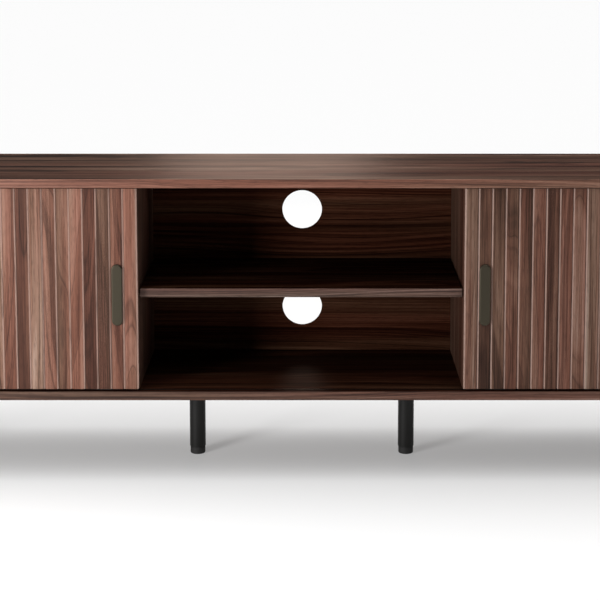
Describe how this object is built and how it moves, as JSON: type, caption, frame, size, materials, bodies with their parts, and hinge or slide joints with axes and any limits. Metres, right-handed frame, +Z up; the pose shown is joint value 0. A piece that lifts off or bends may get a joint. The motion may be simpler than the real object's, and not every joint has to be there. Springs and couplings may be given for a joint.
{
  "type": "media cabinet",
  "caption": "Long low walnut media cabinet with slatted sliding doors, an open middle bay with a shelf and cable holes, and round black steel legs.",
  "frame": {"origin": "on the floor, under the middle of the cabinet", "axes": "+X to the right along the cabinet's length, the front faces -Y, +Z up"},
  "size_m": [1.9, 0.4, 0.624],
  "materials": {
    "walnut_veneer": "satin lacquered walnut veneer",
    "slat_veneer": "satin lacquered walnut, grain upright",
    "back_veneer": "satin lacquered walnut veneer",
    "bronze": "dark bronze",
    "leg_steel": "matt black powder coat",
    "rubber": "matt",
    "nylon": "black nylon",
    "rail": "dark anodised",
    "zinc": "zinc plated",
    "dowel_wood": "raw beech"
  },
  "bodies": {
    "cabinet": {"top_panel": "walnut_veneer", "bottom_panel": "walnut_veneer", "side_panel_left": "walnut_veneer", "side_panel_right": "walnut_veneer", "partition_left": "walnut_veneer", "partition_right": "walnut_veneer", "shelf_centre": "walnut_veneer", "shelf_left": "walnut_veneer", "shelf_right": "walnut_veneer", "back_panel_centre": "back_veneer", "back_panel_left": "back_veneer", "back_panel_right": "back_veneer", "top_channel": "rail", "bottom_track": "rail", "track_screws": "zinc", "door_bumpers": "rubber", "shelf_pins": "zinc", "leg_front_left": "leg_steel", "leg_front_right": "leg_steel", "leg_back_left": "leg_steel", "leg_back_right": "leg_steel", "leg_middle_left": "leg_steel", "leg_middle_right": "leg_steel", "foot_front_left": "rubber", "foot_front_right": "rubber", "foot_back_left": "rubber", "foot_back_right": "rubber", "foot_middle_left": "rubber", "foot_middle_right": "rubber", "leg_screws": "zinc", "carcass_dowels": "dowel_wood", "carcass_screws": "zinc", "back_panel_dowels": "dowel_wood"},
    "door_left": {"door_left_board": "back_veneer", "door_left_slats": "slat_veneer", "door_left_pull_slat": "slat_veneer", "door_left_pull": "bronze", "door_left_glides": "nylon", "door_left_guides": "nylon", "door_left_screws": "zinc"},
    "door_right": {"door_right_board": "back_veneer", "door_right_slats": "slat_veneer", "door_right_pull_slat": "slat_veneer", "door_right_pull": "bronze", "door_right_glides": "nylon", "door_right_guides": "nylon", "door_right_screws": "zinc"}
  },
  "joints": [
    {"name": "door_left_slide", "type": "slide", "parent": "cabinet", "child": "door_left", "axis": [1, 0, 0], "range_m": [0, 0.329]},
    {"name": "door_right_slide", "type": "slide", "parent": "cabinet", "child": "door_right", "axis": [-1, 0, 0], "range_m": [0, 0.329]}
  ]
}
